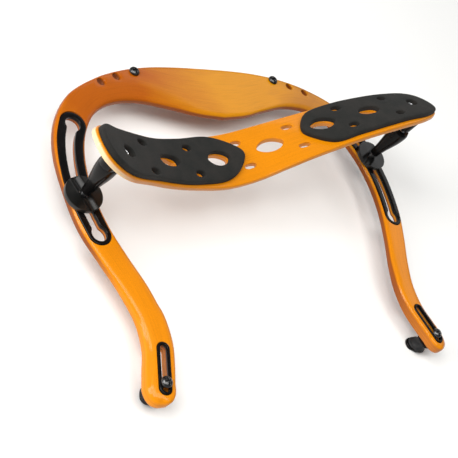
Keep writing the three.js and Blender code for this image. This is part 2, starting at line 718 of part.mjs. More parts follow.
['left', 'right'].forEach((side) => {
  const leg = side === 'left' ? LEG_LEFT : LEG_RIGHT;
  add(`slot_liner_${side}`, makeLiner(linerOutline(side, 0), keySlotOutline(side, 0)), BLACK_PLASTIC);
  const [rim, opening] = [CLAW_LINER_HALF, CLAW_SLOT_HALF_WIDTH].map((half) => clawSlotOutline(side, half));
  add(`claw_slot_liner_${side}`, makeLiner(rim, opening), BLACK_PLASTIC);
  add(`leg_stem_${side}`, makeStem(leg), BLACK_STEEL);
  add(`clamp_disc_${side}`, makeClampDisc(leg, DISC_TURN[side]), BLACK_PLASTIC);
  add(`leg_barrel_${side}`, makeBarrel(leg), BLACK_PLASTIC);
  add(`ball_stud_${side}`, makeBallStud(leg), STEEL);
  add(`plate_bracket_${side}`, makeBracket(side, leg), BLACK_PLASTIC);
  add(`plate_screw_${side}`, makePlateScrew(side), STEEL);
  add(`pad_${side}`, makePad(side), FOAM);
  [['arm_claw', ARM_CLAW], ['end_claw', END_CLAW]].forEach(([kind, claw]) => {
    const at = sidePoint(claw.at, side);
    const direction = sidePoint(claw.toeDirection, side);
    const post = makeClawPost(at, claw.top, direction, CLAW_SCREW.shankRadius);
    add(`${kind}_post_${side}`, post, BLACK_PLASTIC);
    add(`${kind}_rubber_${side}`, makeClawRubber(at, claw.top, direction), RUBBER);
    add(`${kind}_screw_${side}`, makeClawScrew(at, claw.screwSeat), BLACK_STEEL);
  });
});

const box = new THREE.Box3().setFromObject(assembly);
const centre = box.getCenter(new THREE.Vector3());
assembly.position.set(-centre.x, -centre.y, -box.min.z);

export default assembly;
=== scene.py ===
import math

import bpy
import numpy as np
from mathutils import Matrix, Vector
from mathutils.geometry import delaunay_2d_cdt


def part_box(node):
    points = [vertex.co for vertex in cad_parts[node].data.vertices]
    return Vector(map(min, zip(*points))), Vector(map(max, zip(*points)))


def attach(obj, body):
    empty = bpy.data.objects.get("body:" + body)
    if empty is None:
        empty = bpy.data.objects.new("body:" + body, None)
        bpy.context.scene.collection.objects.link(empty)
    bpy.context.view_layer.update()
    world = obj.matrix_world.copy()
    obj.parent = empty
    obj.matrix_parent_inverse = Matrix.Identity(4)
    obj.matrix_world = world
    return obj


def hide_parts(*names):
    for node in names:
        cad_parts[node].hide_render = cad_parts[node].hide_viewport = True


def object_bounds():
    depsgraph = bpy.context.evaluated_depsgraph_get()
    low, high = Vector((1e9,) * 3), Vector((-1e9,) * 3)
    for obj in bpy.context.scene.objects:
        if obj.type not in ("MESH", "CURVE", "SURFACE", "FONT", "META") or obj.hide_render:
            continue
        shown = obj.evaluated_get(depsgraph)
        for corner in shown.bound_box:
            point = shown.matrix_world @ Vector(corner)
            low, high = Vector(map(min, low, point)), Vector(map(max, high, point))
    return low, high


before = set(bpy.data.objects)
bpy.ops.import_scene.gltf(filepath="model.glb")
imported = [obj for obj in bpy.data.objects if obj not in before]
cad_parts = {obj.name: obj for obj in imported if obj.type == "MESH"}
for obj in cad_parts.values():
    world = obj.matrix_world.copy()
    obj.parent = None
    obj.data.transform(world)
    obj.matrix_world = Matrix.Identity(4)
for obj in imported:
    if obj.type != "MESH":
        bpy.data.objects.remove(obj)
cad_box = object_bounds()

# A violin shoulder rest. The pieces are drawn in millimetres as in the design: z = 0 is the back
# edge of the instrument, y = 0 its chin end. ORIGIN carries them into the frame, in metres.

MM = 0.001
SIDES = {"left": -1, "right": 1}
LEG = {"left": (-90.95, -64.6), "right": (89.6, -46.6)}
CLAW_BOTTOM = -8.0
GAP = 0.3

stem_low, stem_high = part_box("leg_stem_left")
ORIGIN = (np.array(stem_low) + np.array(stem_high)) / 2 - np.array([*LEG["left"], 0]) * MM
ORIGIN[2] = cad_box[0][2] - CLAW_BOTTOM * MM

# ---- driving dimensions, in millimetres ----

CRADLE_INNER = [
    (0, -25.2, 10.6), (14, -23.6, 10.4), (28, -19.8, 9.7), (45, -16.2, 8.8), (60, -17.6, 8.4),
    (70.4, -23.2, 8.0), (77.6, -33, 7.6), (82.3, -46, 7.5), (83.9, -62, 7.5), (82.1, -78, 7.5),
    (77.8, -93, 7.5), (72.8, -107.5, 7.5), (70.3, -120, 7.5), (70.7, -131.5, 7.5),
    (73, -140, 7.5), (76.1, -148.5, 7.5),
]
CRADLE_OUTER = [
    (0, 4.87, 8.2), (17, 4.68, 8.2), (33, 3.6, 8.3), (48.5, 0.9, 8.4), (64.5, -4.4, 8.4),
    (81, -14, 8.2), (91.2, -27.5, 7.7), (96, -42.5, 7.5), (97, -62, 7.5), (95.5, -79, 7.4),
    (91, -93, 7.3), (85.7, -107.5, 7.0), (82.5, -120.5, 6.8), (83.1, -131.5, 6.6),
    (86, -139.8, 6.5), (88.3, -146.5, 6.3),
]
CRADLE_THICKNESS = 4.0
ARM_TIP_THICKNESS = 6.0
ARM_TIP_REACH = 7.7
ARM_TIP_SQUARENESS = 0.75  # 1 would draw half an ellipse, 0 a rectangle
TIP_THICKENING_START = -95.0
TIP_THICKENING_LENGTH = 50.0
CRADLE_CROWN = 0.35
CRADLE_ROUND = {"bar": 1.5, "tip_outside": 3.8, "tip_inside": 1.4, "under": 1.1}

END_HOLES = [(42.6, -0.6), (53, -3.5), (62.2, -6.9)]
END_HOLE_RADIUS = 1.95
SLOT_LINE = [
    (83.4, -29.3), (86.9, -36.5), (89.3, -45), (90.6, -54), (90.8, -62), (90, -71.5), (88.15, -81.7),
]
SLOT_HALF = 2.2
KEYHOLE_RADIUS = 3.5
SLOT_CLEARANCE = 0.5
SLOT_LINER_HALF = (6.1, 5.3)
CLAW_SLOT = [(76.6, -133.4), (81.5, -149.2)]
CLAW_SLOT_HALF = 1.6
CLAW_LINER_HALF = 2.8
LINER_TOP = 7.9
LINER_DEPTH = 1.8
LINER_SEAT_GAP = 0.12  # the pocket in the wood is this much wider than its liner

STEM_RADIUS = 1.65
STEM_TOP = 26.5
STEM_FOOT = {"radius": 3.2, "bottom": 1.5, "top": 3.1}
THREAD_PITCH = 0.6
DISC = {
    "radius": 8.35, "bottom": 8.2, "top": 10.8, "edge": 0.5, "dome": 0.25, "groove": 3.1, "depth": 1.4,
    "bore": 1.95,
}
DISC_TURN = {"left": -1.31, "right": 0.56}
BARREL_PROFILE = [
    (2.3, 12.6), (2.55, 15.5), (3.05, 19.5), (3.75, 23.5), (4.3, 27), (4.6, 30.5), (4.5, 33.4), (3.9, 34.9),
]
BARREL_BORE = (2.0, 29.4)
BALL_HEIGHT = 33.0
SOCKET_RADIUS = 2.8
BRACKET_BOTTOM = 36.2
BRACKET_RADIUS = {"left": 3.9, "right": 3.1}
BRACKET_BORE = 1.4
BRACKET_SCREW_SIDE = {"left": (-94.2, -66.6), "right": (88.7, -42.0)}

PLATE_START = np.array([-91.5, -67.5])
PLATE_END = np.array([88.5, -39.5])
# Stations of the rest plate: distance along it, height of its top, half width, twist in
# degrees, sideways shift.
PLATE_STATIONS = np.array([
    (-17.1, 56.2, 0.9, 3, 0.3), (-15.8, 55.3, 5.6, 2.8, 0.5), (-10.8, 51.8, 9.3, 2.4, 0.5),
    (0, 44.3, 10.8, 1.8, 0.2), (14, 37, 10.9, 1.2, 0.5), (30, 29.9, 11.5, -0.5, 0.5),
    (46.7, 25.3, 12.5, -2.3, 0.3), (63.6, 23, 13.5, -4, -0.1), (78.8, 25, 13.7, -8.5, -0.5),
    (92.4, 29.9, 13.7, -14.5, -0.6), (105.8, 34.6, 13.7, -19, -0.6), (120.2, 38.7, 13.6, -21, -0.6),
    (133.1, 42, 13.4, -22, -0.6), (149.1, 44.1, 13.2, -23.5, -0.5), (165.2, 45.2, 12.9, -24.8, -0.3),
    (182.9, 45, 11.5, -25, -0.1), (194, 44.2, 8.2, -25, -0.9), (197.8, 43.8, 4.8, -25, -2.2),
    (199, 43.6, 0.9, -25, -2.8),
])
PLATE_THICKNESS = 2.8
PLATE_ROUND = {"top": 0.7, "under": 0.8, "hole": 0.3}
PAD_THICKNESS = 2.6
PAD_ROUND = {"top": 0.9, "under": 0.35, "hole": 0.55}
PAD_SWELL = 0.12
PAD_OUTLINES = {
    "left": [
        (-16.8, 0.3), (-15.2, 6.2), (-10.5, 9.3), (0, 10.5), (22, 10.8), (45, 11.9), (64, 12.1), (73.7, 7.2),
        (78.8, 0), (73.4, -6.8), (66, -10.4), (45, -10.8), (22, -9.5), (0, -9.8), (-10.2, -8.2), (-15, -5),
    ],
    "right": [
        (109.4, 0), (112.6, 5.8), (118.5, 9.9), (134, 11.2), (152, 11.3), (170, 10.7), (185, 9), (194, 5.2),
        (197.9, -1.8), (196.3, -7.2), (186, -10.4), (170, -11.2), (152, -11.9), (134, -12.2), (119, -11.6),
        (112.2, -5.6),
    ],
}
SMALL_OVAL = (2.8, 1.35)
SMALL_OVAL_OFFSET = 6.6
SMALL_OVAL_STATIONS = [14.2, 46.7, 78.8, 105.8, 133.1, 165.2]
# Large openings: distance along the plate, half width, whether the ends are pointed.
BIG_OPENINGS = [
    (30.1, 2.5, False), (63.6, 3.6, True), (92.6, 3.7, True), (120.2, 3.5, True), (149.1, 2.5, False),
]
BIG_OPENING_LENGTH = 6.6
END_SLOT = {"length": 2.0, "width": 1.5, "pad_length": 3.6, "pad_width": 2.5}
END_SLOT_STATIONS = {"left": -0.2, "right": 182.9}
PLATE_SCREW = {"head": 2.1, "height": 1.3, "shank": 1.1, "length": 7.2}

CLAW = {"flange": 1.4, "post": 2.4, "toe_reach": 6.2, "toe_half": 3.3, "bore_start": 3.0}
CLAW_RUBBER = {"radius": 4.5, "waist": 3.3, "lip": 0.6, "slope": 1.5, "sole": 1.0}
CLAWS = {
    "arm_claw": {"at": (80.88, -147.2), "top": 0.0, "toe": (-0.86, 0.51), "seat": 8.2},
    "end_claw": {"at": END_HOLES[0], "top": 3.6, "toe": (0.0, -1.0), "seat": 8.85},
}
CLAW_SCREW = {"head": 2.5, "height": 1.8, "shank": 1.2, "length": 11.5}
RECESS_DEPTH = 0.75

SHARP_ANGLE = math.radians(42)  # faces that meet at more than this keep a crisp edge
OUTLINE_STEP = 0.6
# Distances between the points inside a face.
SPACING = {"cradle": 1.3, "cradle_under": 1.6, "plate": 1.5, "small": 1.2, "fine": 1.0}
BLOCK = 2000

# ---- camera, floor and lights ----

CAMERA_PLACE = (-297.3, -233.4, 308.9)
CAMERA_RIGHT = Vector((0.7722, -0.3377, 0.5381))
CAMERA_UP = Vector((0.0483, 0.8757, 0.4804))
CAMERA_LENS = 77.18  # on a 36 mm sensor

LIGHTS_AIM = (0, 0, 0.03)
# Direction from the part, distance and size in metres, power in watts, colour.
LIGHTS = {
    "window": ((-0.62, 0.1, 0.78), 0.9, (0.6, 0.42), 5.4, (1.0, 0.99, 0.97)),
    "low_window": ((-0.92, 0.17, 0.34), 0.9, (0.24, 0.5), 4.0, (1.0, 0.99, 0.97)),
    "overhead": ((-0.15, -0.25, 1.0), 1.0, (0.7, 0.5), 5.6, (1.0, 0.99, 0.96)),
    "sheen": ((0.70, 0.50, 0.50), 1.0, (1.3, 0.34), 1.9, (1, 1, 1)),
}


def to_frame(points):
    """Design millimetres to frame metres."""
    return np.asarray(points, float) * MM + ORIGIN


def add_object(name, data):
    """A new object, linked to the scene."""
    made = bpy.data.objects.new(name, data)
    bpy.context.scene.collection.objects.link(made)
    return made


def make_camera():
    right = CAMERA_RIGHT.normalized()
    back = right.cross(CAMERA_UP).normalized()
    up = back.cross(right)
    camera = bpy.data.cameras.new("camera")
    camera.lens = CAMERA_LENS
    camera.sensor_width = 36
    camera.clip_start = 0.01
    holder = add_object("camera", camera)
    turn = Matrix((right, up, back)).transposed().to_4x4()
    holder.matrix_world = Matrix.Translation(Vector(to_frame(CAMERA_PLACE))) @ turn
    bpy.context.scene.camera = holder


def make_light(name, direction, distance, size, power, colour):
    """A soft rectangular light that looks at the part from a direction."""
    light = bpy.data.lights.new(name, "AREA")
    light.shape = "RECTANGLE"
    light.size, light.size_y = size
    light.energy = power
    light.color = colour
    holder = add_object(name, light)
    towards = Vector(direction).normalized()
    holder.location = Vector(LIGHTS_AIM) + towards * distance
    holder.rotation_euler = towards.to_track_quat("Z", "Y").to_euler()


def make_studio():
    bpy.context.scene.view_settings.view_transform = "Standard"
    world = bpy.data.worlds.new("studio")
    world.use_nodes = True
    backdrop = world.node_tree.nodes["Background"]
    backdrop.inputs["Color"].default_value = (0.95, 0.97, 1.0, 1)
    backdrop.inputs["Strength"].default_value = 0.22
    bpy.context.scene.world = world
    for name, settings in LIGHTS.items():
        make_light(name, *settings)

    bpy.ops.mesh.primitive_plane_add(size=6)
    floor = bpy.context.object
    floor.name = "floor"
    floor.location.z = cad_box[0][2] - 0.0002
    paint = bpy.data.materials.new("floor_paint")
    paint.use_nodes = True
    shader = paint.node_tree.nodes["Principled BSDF"]
    shader.inputs["Base Color"].default_value = (0.9, 0.9, 0.89, 1)
    shader.inputs["Roughness"].default_value = 0.8
    shader.inputs["Specular IOR Level"].default_value = 0.1
    floor.data.materials.append(paint)


# ---- curves and outlines ----


def spline(points, per=16, closed=False, centripetal=True):
    """Catmull-Rom curve through points, per samples a stretch."""
    points = np.asarray(points, float)
    if closed:
        padded = np.vstack([points[-1:], points, points[:2]])
    elif centripetal:
        padded = np.vstack([2 * points[0] - points[1], points, 2 * points[-1] - points[-2]])
    else:
        padded = np.vstack([points[:1], points, points[-1:]])
    t = np.linspace(0, 1, per, endpoint=False)[:, None]
    rows = []
    for i in range(len(padded) - 3):
        p0, p1, p2, p3 = padded[i:i + 4]
        if centripetal:
            d0, d1, d2 = (max(np.linalg.norm(b - a) ** 0.5, 1e-4) for a, b in ((p0, p1), (p1, p2), (p2, p3)))
        else:
            d0 = d1 = d2 = 1.0
        m1 = d1 * ((p1 - p0) / d0 - (p2 - p0) / (d0 + d1) + (p2 - p1) / d1)
        m2 = d1 * ((p2 - p1) / d1 - (p3 - p1) / (d1 + d2) + (p3 - p2) / d2)
        cubic = 2 * p1 - 2 * p2 + m1 + m2
        square = -3 * p1 + 3 * p2 - 2 * m1 - m2
        rows.append(cubic * t ** 3 + square * t ** 2 + m1 * t + p1)
    if not closed:
        rows.append(padded[-2][None])
    return np.vstack(rows)


def lengths(points):
    steps = np.linalg.norm(np.diff(points, axis=0), axis=1)
    return np.concatenate([[0], np.cumsum(steps)])


def resample(points, step, closed=False):
    """The same line with even steps."""
    line = np.vstack([points, points[:1]]) if closed else points
    along = lengths(line)
    count = max(2, int(round(along[-1] / step)))
    places = np.linspace(0, along[-1], count + 1)
    if closed:
        places = places[:-1]
    return np.stack([np.interp(places, along, column) for column in line.T], axis=1)


def mirrored(points, side):
    points = np.array(points, float)
    points[:, 0] *= SIDES[side]
    return points


def unit(rows):
    return rows / np.linalg.norm(rows, axis=1, keepdims=True)


def leftward(along):
    """Directions at a right angle to the given ones."""
    return np.stack([-along[:, 1], along[:, 0]], axis=1)


def directions(angles):
    return np.stack([np.cos(angles), np.sin(angles)], axis=1)


def spokes(count):
    """Unit directions all round, evenly spaced."""
    return directions(2 * math.pi * np.arange(count) / count)


def arc(centre, radius, start, sweep, step):
    """Points strictly inside an arc of a circle."""
    count = max(3, int(abs(sweep) * radius / step))
    return np.array(centre) + radius * directions(start + sweep * np.arange(1, count) / count)


def slot_outline(line, half_ends, radii=None, step=0.45):
    """Outline of a slot along a line, its half width changing from end to end, with round ends.
    The ends are half circles, or keyholes where larger radii are given."""
    radii = radii or half_ends
    curve = resample(line, step)
    total = lengths(curve)[-1]
    u = lengths(curve) / total
    along = unit(np.gradient(curve, axis=0))
    across = leftward(along)
    half = half_ends[0] + (half_ends[1] - half_ends[0]) * u
    trims = [math.sqrt(max(0.0, r * r - h * h)) for r, h in zip(radii, half_ends)]
    keep = (u * total >= trims[0] - 1e-6) & ((1 - u) * total >= trims[1] - 1e-6)
    right = (curve - across * half[:, None])[keep]
    left = (curve + across * half[:, None])[keep][::-1]

    def cap(end, radius, half_width, direction):
        opening = math.asin(min(1.0, half_width / radius))
        sweep = 2 * (math.pi - opening)
        start = math.atan2(direction[1], direction[0]) - sweep / 2
        return arc(end, radius, start, sweep, step)

    far = cap(curve[-1], radii[1], half_ends[1], along[-1])
    near = cap(curve[0], radii[0], half_ends[0], -along[0])
    return np.vstack([right, far, left, near])


def circle(centre, radius, step=0.3):
    return np.array(centre) + radius * spokes(max(24, int(2 * math.pi * radius / step)))


def oval(s, u, length, width, pointed=False, step=0.3):
    """A lens (pointed) or a long rounded oval, as the openings of the plate are cut."""
    angles = 2 * math.pi * np.arange(400) / 400
    power = 1.35 if pointed else 0.8
    across = np.sign(np.sin(angles)) * np.abs(np.sin(angles)) ** power
    outline = np.stack([s + length * np.cos(angles), u + width * across], axis=1)
    return resample(outline, step, closed=True)


# ---- solids from flat outlines ----


def blocks(points):
    """Slices of a long list of points, which keep the tables made from them small."""
    return [slice(start, start + BLOCK) for start in range(0, len(points), BLOCK)]


def inside(points, loop):
    """Which points lie inside a closed loop."""
    x1, y1 = loop[:, 0], loop[:, 1]
    x2, y2 = np.roll(x1, -1), np.roll(y1, -1)
    rise = np.where(y2 == y1, 1e-12, y2 - y1)
    result = np.zeros(len(points), bool)
    for block in blocks(points):
        x, y = points[block, 0:1], points[block, 1:2]
        crosses = (y1 > y) != (y2 > y)
        hit = crosses & (x < (x2 - x1) * (y - y1) / rise + x1)
        result[block] = hit.sum(axis=1) % 2 == 1
    return result


def distance(points, loop):
    """Distance from each point to a closed loop."""
    before, after = np.roll(loop, 1, axis=0), np.roll(loop, -1, axis=0)
    result = np.empty(len(points))
    for block in blocks(points):
        p = points[block]
        gaps = (p[:, 0:1] - loop[:, 0]) ** 2 + (p[:, 1:2] - loop[:, 1]) ** 2
        nearest = gaps.argmin(axis=1)
        best = np.sqrt(gaps[np.arange(len(p)), nearest])
        for other in (before, after):
            a, b = loop[nearest], other[nearest]
            edge = b - a
            t = ((p - a) * edge).sum(axis=1) / np.maximum((edge ** 2).sum(axis=1), 1e-12)
            foot = a + edge * np.clip(t, 0, 1)[:, None]
            best = np.minimum(best, np.linalg.norm(p - foot, axis=1))
        result[block] = best
    return result


def within(points, loops):
    """Inside the first loop and outside the others."""
    result = inside(points, loops[0])
    for hole in loops[1:]:
        result &= ~inside(points, hole)
    return result


def sheet(loops, rounds, spacing):
    """Triangles over the region between loops, with rows of points where its edges are rounded."""
    starts = np.cumsum([0, *map(len, loops)])
    spans = [list(range(start, end)) for start, end in zip(starts, starts[1:])]
    outlines = [pair for span in spans for pair in zip(span, span[1:] + span[:1])]
    extra = []
    for loop, rounding in zip(loops, rounds):
        across = leftward(unit(np.roll(loop, -1, axis=0) - np.roll(loop, 1, axis=0)))
        for degrees in (25, 45, 65, 90):
            offset = rounding * (1 - math.cos(math.radians(degrees)))
            for sign in (-1, 1):
                row = loop + across * offset * sign
                clear = np.min([distance(row, other) for other in loops], axis=0)
                extra.append(row[within(row, loops) & (clear > 0.93 * offset)])
    low, high = loops[0].min(axis=0), loops[0].max(axis=0)
    xs = np.arange(low[0], high[0], spacing)
    ys = np.arange(low[1], high[1], spacing * 0.87)
    grid = np.array([(x + (j % 2) * spacing / 2, y) for j, y in enumerate(ys) for x in xs])
    grid = grid[within(grid, loops)]
    for loop, rounding in zip(loops, rounds):
        grid = grid[distance(grid, loop) > rounding + 0.4 * spacing]
    vectors = [Vector(p) for p in np.vstack([*loops, *extra, grid])]
    result = delaunay_2d_cdt(vectors, outlines, [], 0, 1e-5)
    flat = np.array([tuple(v) for v in result[0]])
    triangles = np.array(result[2])
    triangles = triangles[within(flat[triangles].mean(axis=1), loops)]
    place_of = {}
    for new, olds in enumerate(result[3]):
        for old in olds:
            place_of[old] = new
    return flat, triangles, [[place_of[i] for i in span] for span in spans]


def edge_drop(points, loops, rounds):
    """How far a rounded edge falls away below the face, at each point."""
    drop = np.zeros(len(points))
    for loop, rounding in zip(loops, rounds):
        rounding = np.broadcast_to(rounding, len(points))
        reach = rounding - np.minimum(distance(points, loop), rounding)
        drop = np.maximum(drop, rounding - np.sqrt(np.maximum(rounding ** 2 - reach ** 2, 0)))
    return drop


class Skin:
    """Points, faces and grain coordinates of one closed piece, gathered patch by patch."""

    def __init__(self):
        self.points, self.grain, self.faces, self.count = [], [], [], 0

    def add(self, points, grain):
        first = self.count
        self.points.append(points)
        self.grain.append(grain)
        self.count += len(points)
        return first

    def patch(self, flat_sheet, place, lift, upward=True):
        """One face of the piece: place(points, lift) carries the flat sheet into space."""
        flat, triangles, rings = flat_sheet
        points, grain = place(flat, lift)
        first = self.add(points, grain)
        a, b, c = (flat[triangles[:, k]] for k in range(3))
        area = (b[:, 0] - a[:, 0]) * (c[:, 1] - a[:, 1]) - (b[:, 1] - a[:, 1]) * (c[:, 0] - a[:, 0])
        turned = np.where(((area > 0) == upward)[:, None], triangles, triangles[:, ::-1])
        self.faces += (turned + first).tolist()
        return [[first + i for i in ring] for ring in rings]

    def wall(self, upper, lower, inward=False):
        """Side faces between two rings of points."""
        count = len(upper)
        for i in range(count):
            j = (i + 1) % count
            quad = [upper[i], lower[i], lower[j], upper[j]]
            self.faces.append(quad[::-1] if inward else quad)

    def ring(self, at, offsets, heights):
        """A ring of points round an upright axis."""
        heights = np.broadcast_to(heights, len(offsets))
        points = np.column_stack([offsets + np.array(at), heights])
        first = self.add(points, np.column_stack([offsets, heights]))
        return list(range(first, first + len(offsets)))

    def cap(self, ring, at, height, upward=True):
        """A fan of triangles that closes a ring."""
        centre = self.add(np.array([[*at, height]]), np.array([[0, 0, height]]))
        for i, start in enumerate(ring):
            face = [centre, start, ring[(i + 1) % len(ring)]]
            self.faces.append(face if upward else face[::-1])

    def build(self, name):
        mesh = bpy.data.meshes.new(name)
        points = to_frame(np.vstack(self.points))
        mesh.from_pydata(points.tolist(), [], self.faces)
        mesh.validate()
        grain = mesh.attributes.new("grain", "FLOAT_VECTOR", "POINT")
        grain.data.foreach_set("vector", np.vstack(self.grain).astype(np.float32).ravel())
        mesh.shade_smooth()
        mesh.set_sharp_from_angle(angle=SHARP_ANGLE)
        return add_object(name, mesh)


def edges(outer, hole, loops):
    """Radii of the rounded edges: of the outer loop, and of every hole."""
    return [outer] + [hole] * (len(loops) - 1)


def counterclockwise(loops):
    """The loops, with any that runs clockwise turned round."""
    result = []
    for loop in loops:
        x, y = loop[:, 0], loop[:, 1]
        area = np.dot(x, np.roll(y, -1)) - np.dot(y, np.roll(x, -1))
        result.append(loop if area > 0 else loop[::-1])
    return result


def make_slab(name, loops, top_rounds, bottom_rounds, place, thickness, spacing, swell=None):
    """A flat or bent slab with openings, rounded along every edge."""
    loops = counterclockwise(loops)
    rows = sheet(loops, [max(pair) for pair in zip(top_rounds, bottom_rounds)], spacing)
    flat = rows[0]
    skin = Skin()
    top_lift = -edge_drop(flat, loops, top_rounds)
    if swell:
        top_lift = top_lift + swell(distance(flat, loops[0]))
    under_lift = -thickness + edge_drop(flat, loops, bottom_rounds)
    upper = skin.patch(rows, place, top_lift)
    lower = skin.patch(rows, place, under_lift, upward=False)
    for k, (top_ring, bottom_ring) in enumerate(zip(upper, lower)):
        skin.wall(top_ring, bottom_ring, inward=k > 0)
    return skin.build(name)


def level(height):
    """Place function of a flat slab whose top stands at one height."""
    def place(points, lift):
        placed = np.column_stack([points, height + np.broadcast_to(lift, len(points))])
        return placed, placed
    return place


# ---- cradle ----

inner_edge = spline(CRADLE_INNER, 40)
outer_edge = spline(CRADLE_OUTER, 40)
bar_length = lengths((inner_edge + outer_edge) / 2)


def cradle_place(points, lift):
    """Height of the cradle's top over a point in plan, found across the bar it lies on."""
    plan = np.column_stack([np.abs(points[:, 0]), points[:, 1]])
    across = outer_edge[:, :2] - inner_edge[:, :2]
    width = np.linalg.norm(across, axis=1)
    heights = np.empty(len(plan))
    grain = np.empty((len(plan), 2))
    for block in blocks(plan):
        p = plan[block]
        dx, dy = p[:, 0:1] - inner_edge[:, 0], p[:, 1:2] - inner_edge[:, 1]
        side = (dx * across[:, 1] - dy * across[:, 0]) / width
        share = (dx * across[:, 0] + dy * across[:, 1]) / width ** 2
        miss = np.abs(side) + 20 * np.maximum(0, np.abs(share - 0.5) - 0.6)
        best = miss.argmin(axis=1)
        rows = np.arange(len(p))
        offset = side[rows, best]
        step = np.where(offset > 0, 1, -1)
        other = np.clip(best + step, 0, len(inner_edge) - 1)
        other_offset = side[rows, other]
        crosses = (other != best) & (offset * other_offset < 0)
        mix = np.where(crosses, offset / np.where(crosses, offset - other_offset, 1), 0)
        f = share[rows, best] * (1 - mix) + share[rows, other] * mix
        inner_z = inner_edge[best, 2] * (1 - mix) + inner_edge[other, 2] * mix
        outer_z = outer_edge[best, 2] * (1 - mix) + outer_edge[other, 2] * mix
        f_in = np.clip(f, 0, 1)
        heights[block] = inner_z + (outer_z - inner_z) * f + 4 * CRADLE_CROWN * f_in * (1 - f_in)
        along = bar_length[best] * (1 - mix) + bar_length[other] * mix
        grain[block] = np.column_stack([along, f * width[best]])
    grain[:, 0] *= np.sign(points[:, 0])
    lift = np.broadcast_to(lift, len(points))
    return np.column_stack([points, heights + lift]), np.column_stack([grain, lift])


def smooth_step(x):
    t = np.clip(x, 0, 1)
    return t * t * (3 - 2 * t)


def tip_share(y):
    return smooth_step((TIP_THICKENING_START - y) / TIP_THICKENING_LENGTH)


def cradle_outline():
    inner, outer = inner_edge[:, :2], outer_edge[:, :2]
    middle, half = (inner[-1] + outer[-1]) / 2, (outer[-1] - inner[-1]) / 2
    forward = np.array([half[1], -half[0]]) / np.linalg.norm(half)
    angles = np.linspace(0, math.pi, 40)[1:-1, None]
    across = np.sign(np.cos(angles)) * np.abs(np.cos(angles)) ** ARM_TIP_SQUARENESS
    tip = middle + half * across + forward * ARM_TIP_REACH * np.sin(angles)
    right = np.vstack([outer, tip, inner[::-1]])
    left = right[::-1] * (-1, 1)
    return resample(np.vstack([right, left[1:-1]]), OUTLINE_STEP, closed=True)


def slot_line(side):
    return spline(mirrored(SLOT_LINE, side), 24, centripetal=False)


def slot_loop(side, extra):
    return slot_outline(slot_line(side), (SLOT_HALF + extra,) * 2, (KEYHOLE_RADIUS + extra,) * 2)


def liner_loop(side, extra):
    return slot_outline(slot_line(side), tuple(half + extra for half in SLOT_LINER_HALF))


def claw_slot_loop(side, half):
    return slot_outline(mirrored(CLAW_SLOT, side), (half, half))


def top_rounding(points):
    """Radius of the cradle's upper edge near each point; the arm tips are rounder on the outside."""
    (start_x, start_y), (end_x, end_y) = CLAW_SLOT
    middle = start_x + (points[:, 1] - start_y) * (end_x - start_x) / (end_y - start_y)
    outward = smooth_step((np.abs(points[:, 0]) - middle + 1.5) / 3)
    inside, outside = CRADLE_ROUND["tip_inside"], CRADLE_ROUND["tip_outside"]
    tip = inside + (outside - inside) * outward
    return CRADLE_ROUND["bar"] + (tip - CRADLE_ROUND["bar"]) * tip_share(points[:, 1])


def make_cradle():
    outline = cradle_outline()
    holes = [circle(mirrored([hole], side)[0], END_HOLE_RADIUS) for side in SIDES for hole in END_HOLES]
    pockets, slots = [], []
    for side in SIDES:
        pockets += [liner_loop(side, LINER_SEAT_GAP), claw_slot_loop(side, CLAW_LINER_HALF + LINER_SEAT_GAP)]
        slots += [slot_loop(side, SLOT_CLEARANCE), claw_slot_loop(side, CLAW_SLOT_HALF + SLOT_CLEARANCE)]
    outline, *holes = counterclockwise([outline, *holes])
    pockets, slots = counterclockwise(pockets), counterclockwise(slots)
    skin = Skin()

    loops = [outline, *pockets, *holes]
    fixed = [0.2] * len(pockets) + [0.55] * len(holes)
    top = sheet(loops, [CRADLE_ROUND["tip_outside"], *fixed], SPACING["cradle"])
    edge = top_rounding(top[0])
    upper = skin.patch(top, cradle_place, -edge_drop(top[0], loops, [edge, *fixed]))

    loops = [outline, *slots, *holes]
    rounds = edges(CRADLE_ROUND["under"], 0.3, loops)
    bottom = sheet(loops, rounds, SPACING["cradle_under"])
    grown = (ARM_TIP_THICKNESS - CRADLE_THICKNESS) * tip_share(bottom[0][:, 1])
    under = -CRADLE_THICKNESS - grown + edge_drop(bottom[0], loops, rounds)
    lower = skin.patch(bottom, cradle_place, under, upward=False)

    skin.wall(upper[0], lower[0])
    for k in range(len(holes)):
        skin.wall(upper[1 + len(pockets) + k], lower[1 + len(slots) + k], inward=True)
    floor_height = LINER_TOP - LINER_DEPTH - 0.1
    for k, (pocket, slot) in enumerate(zip(pockets, slots)):
        ledge = sheet([pocket, slot], [0.05, 0.05], SPACING["cradle"])
        rings = skin.patch(ledge, level(floor_height), 0.0)
        skin.wall(upper[1 + k], rings[0], inward=True)
        skin.wall(rings[1], lower[1 + k], inward=True)
    return skin.build("cradle_wood")


def make_liner(name, outline, opening):
    loops = [outline, opening]
    return make_slab(name, loops, [0.5, 0.4], [0.2, 0.2], level(LINER_TOP), LINER_DEPTH, SPACING["small"])


# ---- rest plate and pads ----

plate_along = (PLATE_END - PLATE_START) / np.linalg.norm(PLATE_END - PLATE_START)
plate_sideways = np.array([-plate_along[1], plate_along[0]])
station_table = spline(PLATE_STATIONS, 60, centripetal=False)


def station(s, column):
    return np.interp(s, station_table[:, 0], station_table[:, column])


